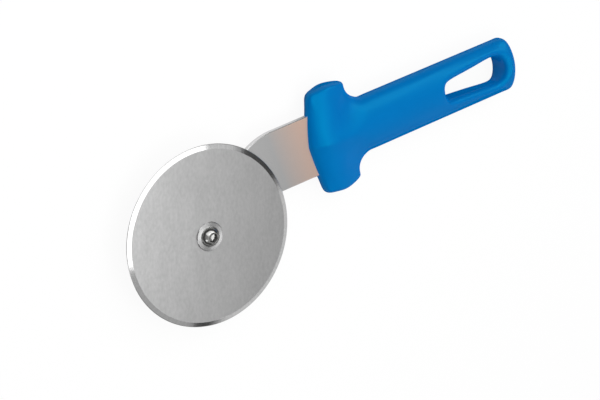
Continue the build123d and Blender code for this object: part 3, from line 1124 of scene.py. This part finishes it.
def handle_place(column, row, ring):
    """Place of a board point, and its height above the middle plane."""
    if (column, row) not in outline:
        columns = (*GUARD_FACE_PLACES, *GRIP_PLACES) if row < GRIP_ROW else HORN_FACE_PLACES
        place = Vector((columns[column - 1], ROW_HEIGHTS[row]))
        return place, half_thickness(place)
    point, side, kind, size = outline[column, row]
    point, side = Vector(point), Vector(side)
    if kind == "round":
        place = point + side * size * (1 - cos(ring * ROUND_TURN))
        return place, half_thickness(place) if ring else 0.0
    top = half_thickness(point + side * size)
    inwards = (0, 0, cut(size), size)[ring]
    return point + side * inwards, (0, top - size, top - cut(size), top)[ring]


for vertex in handle_bm.verts:
    (along, height), out = handle_place(*(round(value) for value in vertex.co))
    vertex.co = Vector((along, height, out)) * MM
for axis in "YZ":
    bmesh.ops.mirror(handle_bm, geom=handle_bm.verts[:] + handle_bm.edges[:] + handle_bm.faces[:],
                     matrix=Matrix.Identity(4), merge_dist=MERGE_DISTANCE, axis=axis)
bmesh.ops.recalc_face_normals(handle_bm, faces=handle_bm.faces)
print("handle", len(handle_bm.verts), "points")


# %% [markdown]
# The real moulding isn't quite a mirror image about its middle line: its upper end corner
# reaches further and its horns are a little tilted. Its necks also lie a touch further back.
# New outlines for each side would double the points, so the mirrored ones are leant over by
# small smooth steps. A crease along the middle of the nose gives the blunt V its edge, and
# fades out behind it.

# %% Lean and crease
END_LEAN = 0.9
END_LEAN_PLACES = (206.0, 210.5)
NECK_LEAN = 0.2
NECK_LEAN_PLACES = ((101.0, 106.0), (108.0, 118.0))
NECK_LEAN_HEIGHTS = ((9.0, 15.0), (21.0, 26.0))
HORN_TILT = 0.035
HORN_TILT_HEIGHTS = (16.0, 25.0)
CREASE = 0.8
CREASE_PLACES = (78.0, 95.0)


def between(value, rise, fall):
    """1 between a smooth rise and a smooth fall, and 0 outside them."""
    return blend(value, *rise) * (1 - blend(value, *fall))


def lean(along, height):
    """How far a point of the moulding is moved along the handle and across it."""
    at_end = blend(along, *END_LEAN_PLACES) * min(max(height, 0) / GRIP_HALF_HEIGHT, 1)
    at_neck = between(along, *NECK_LEAN_PLACES) * between(abs(height), *NECK_LEAN_HEIGHTS)
    at_horn = (along - HORN_MIDDLE) * blend(abs(height), *HORN_TILT_HEIGHTS)
    return END_LEAN * at_end + NECK_LEAN * at_neck, HORN_TILT * at_horn


crease = handle_bm.edges.layers.float.new("crease_edge")
for edge in handle_bm.edges:
    if max(abs(vertex.co.y) for vertex in edge.verts) < LEVEL_DISTANCE:
        furthest = max(vertex.co.x for vertex in edge.verts) / MM
        edge[crease] = CREASE * (1 - blend(furthest, *CREASE_PLACES))
for vertex in handle_bm.verts:
    vertex.co += Vector((*lean(vertex.co.x / MM, vertex.co.y / MM), 0)) * MM
bmesh.ops.translate(handle_bm, verts=handle_bm.verts, vec=(hub.x, handle_axis, handle_middle))
print("creased", sum(edge[crease] > 0 for edge in handle_bm.edges), "edges")


# %% [markdown]
# The handle is polypropylene, moulded in a steel mould with a fine texture. So the eye sees a
# clear blue with a satin skin: a soft highlight where a light is met face on, and no glare at
# the edges, because there the texture hides its own gloss and scatters the light as a faint
# blue sheen. Roughness alone would leave a grey glare there. So the gloss fades by how far the
# surface turns away, and a sheen takes over. Grit and faint flow marks vary the colour.

# %% Blue polypropylene
GRIT_SIZE = 0.5
GRIT_DEPTH = 0.01
GRIT_SHARE = 0.35
FLOW_SIZE = (30.0, 12.0, 12.0)
FULL_GLOSS = 0.55
GLOSS_FADE = (0.25, 0.6)

plastic, tree = new_material("satin_moulded_polypropylene")
# Real mould grit is about 0.05 mm across and is drawn coarser to show
grit = add_node(tree, "ShaderNodeTexNoise", {
    "Vector": object_pattern(tree, size=(GRIT_SIZE,) * 3), "Scale": 1.0, "Detail": 3.0,
})
flow = add_node(tree, "ShaderNodeTexNoise", {
    "Vector": object_pattern(tree, size=FLOW_SIZE), "Scale": 1.0, "Detail": 2.0,
})
tone = add_node(tree, "ShaderNodeMix", {"Factor": GRIT_SHARE, 2: flow.outputs[0], 3: grit.outputs[0]})
colour = add_node(tree, "ShaderNodeMix", {
    "Factor": tone.outputs[0], 6: linear("#0066AF"), 7: linear("#006FBA"),
}, data_type="RGBA")
bump = add_node(tree, "ShaderNodeBump", {"Height": grit.outputs[0], "Distance": GRIT_DEPTH * MM})
slant = add_node(tree, "ShaderNodeLayerWeight", {"Blend": 0.5})
gloss = add_node(tree, "ShaderNodeMapRange", {
    "Value": slant.outputs["Facing"],
    "From Min": GLOSS_FADE[0], "From Max": GLOSS_FADE[1],
    "To Min": FULL_GLOSS, "To Max": 0.0,
})
surface = add_node(tree, "ShaderNodeBsdfPrincipled", {
    "Base Color": colour.outputs[2],
    "Roughness": 0.32,
    "IOR": 1.49,
    "Specular IOR Level": gloss.outputs[0],
    "Specular Tint": linear("#18F8FF"),
    "Sheen Weight": 0.75,
    "Sheen Roughness": 0.6,
    "Sheen Tint": linear("#00A0FF"),
    "Normal": bump.outputs[0],
})
add_node(tree, "ShaderNodeOutputMaterial", {"Surface": surface.outputs[0]})
print("finish", plastic.name)


# %% [markdown]
# A subdivision surface shrinks away from its points. They could be placed further out by
# trial, but it is surer to measure: they are moved out by what they miss, a few times, until
# the surface itself goes through the wanted places.

# %% Subdivision and fit
HANDLE_LEVELS = 3
FIT_ROUNDS = 4

handle = finished(handle_bm, "moulded_handle", "handle", "holder", [plastic],
                  sharp=180)
smooth = handle.modifiers.new("smooth", "SUBSURF")
smooth.levels = HANDLE_LEVELS
smooth.render_levels = HANDLE_LEVELS
wanted = [vertex.co.copy() for vertex in handle.data.vertices]
for fit in range(FIT_ROUNDS):
    bpy.context.view_layer.update()
    shown = handle.evaluated_get(bpy.context.evaluated_depsgraph_get()).data
    misses = [place - shown.vertices[i].co for i, place in enumerate(wanted)]
    for vertex, miss in zip(handle.data.vertices, misses):
        vertex.co += miss
    handle.data.update()
    print("fit", fit, "largest miss", round(max(miss.length for miss in misses) / MM, 3), "mm")
bpy.context.view_layer.update()
